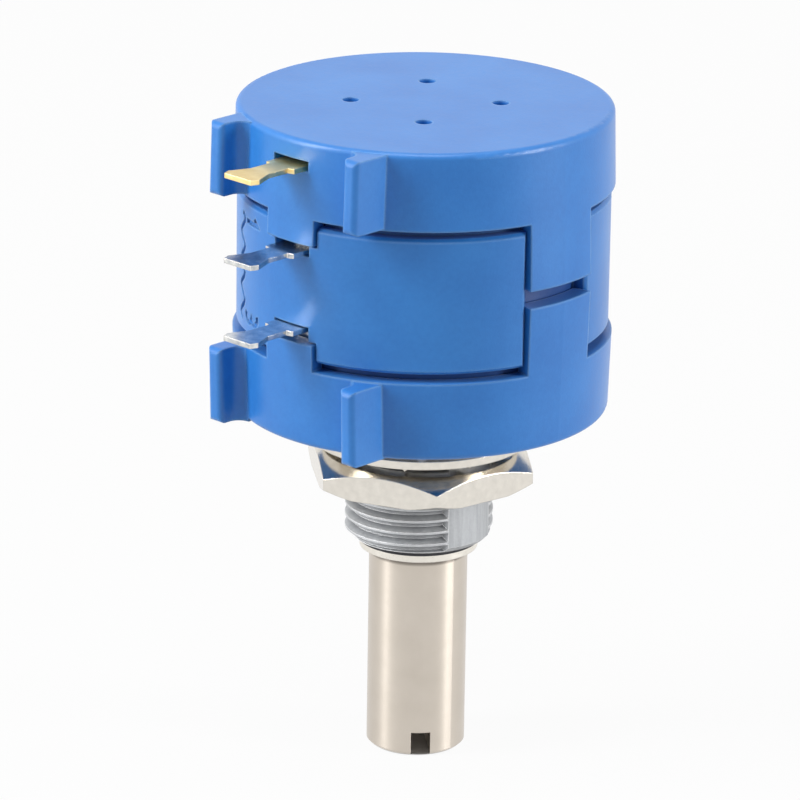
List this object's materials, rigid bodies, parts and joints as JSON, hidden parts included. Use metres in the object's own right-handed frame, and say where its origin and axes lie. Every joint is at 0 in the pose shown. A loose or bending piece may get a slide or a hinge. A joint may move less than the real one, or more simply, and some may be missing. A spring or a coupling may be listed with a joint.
{
  "type": "multi-turn potentiometer",
  "caption": "Round multi-turn wirewound potentiometer with a threaded panel bushing, hexagon nut, toothed lock washer, slotted shaft and side solder lugs.",
  "frame": {"origin": "on the shaft's axis in the plane of the front face that seats on the panel", "axes": "+Z from the front face to the rear disc, so the bushing and shaft point along -Z; the solder lugs point along -Y"},
  "size_m": [0.023, 0.027, 0.0407],
  "materials": {
    "blue_plastic": "satin blue moulded plastic",
    "blue_housing": "satin blue moulded plastic",
    "element_wire": "bright resistance wire",
    "tinned_metal": "dull tin plating",
    "gold_metal": "satin gold plating",
    "contact_metal": "bright spring brass",
    "cast_zinc": "as-cast grey zinc",
    "nickel_plate": "bright nickel plating",
    "shaft_steel": "fine turned, nickel plated",
    "ring_steel": "plain spring steel",
    "dark_shim": "dark oiled steel",
    "rotor_plastic": "black moulded plastic",
    "carriage_plastic": "white low-friction plastic"
  },
  "bodies": {
    "housing": {"front_lid": "blue_plastic", "rear_lid": "blue_plastic", "element_housing": "blue_housing", "bushing": "cast_zinc", "resistance_element": "element_wire", "end_tap_1": "element_wire", "end_tap_3": "element_wire", "terminal_1": "tinned_metal", "terminal_2": "gold_metal", "terminal_3": "tinned_metal", "collector_brush": "contact_metal"},
    "rotor": {"shaft": "shaft_steel", "rotor": "rotor_plastic", "rotor_cap": "rotor_plastic", "collector_rail": "contact_metal", "slip_ring": "contact_metal", "thrust_washer": "dark_shim", "shim": "dark_shim", "retaining_ring": "ring_steel"},
    "carriage": {"wiper_carriage": "carriage_plastic", "wiper_contact": "contact_metal"},
    "washer": {"lock_washer": "nickel_plate"},
    "nut": {"hex_nut": "nickel_plate"}
  },
  "joints": [
    {"name": "shaft_spin", "type": "hinge", "parent": "housing", "child": "rotor", "pos_m": [0, 0, 0], "axis": [0, 0, 1], "range_deg": [-1800, 1800]},
    {"name": "carriage_slide", "type": "slide", "parent": "rotor", "child": "carriage", "axis": [0, 0, 1], "range_m": [-0.00501, 0.00501]},
    {"name": "washer_slide", "type": "slide", "parent": "housing", "child": "washer", "axis": [0, 0, 1], "range_m": [-0.00356, 0.00113]},
    {"name": "nut_spin", "type": "hinge", "parent": "washer", "child": "nut", "pos_m": [0, 0, 0], "axis": [0, 0, 1], "range_deg": [-1710, 540]}
  ],
  "couplings": [
    {"joint": "carriage_slide", "follows": "shaft_spin", "m_per_rad": -0.00015915},
    {"joint": "washer_slide", "follows": "nut_spin", "m_per_rad": 0.00011937}
  ]
}
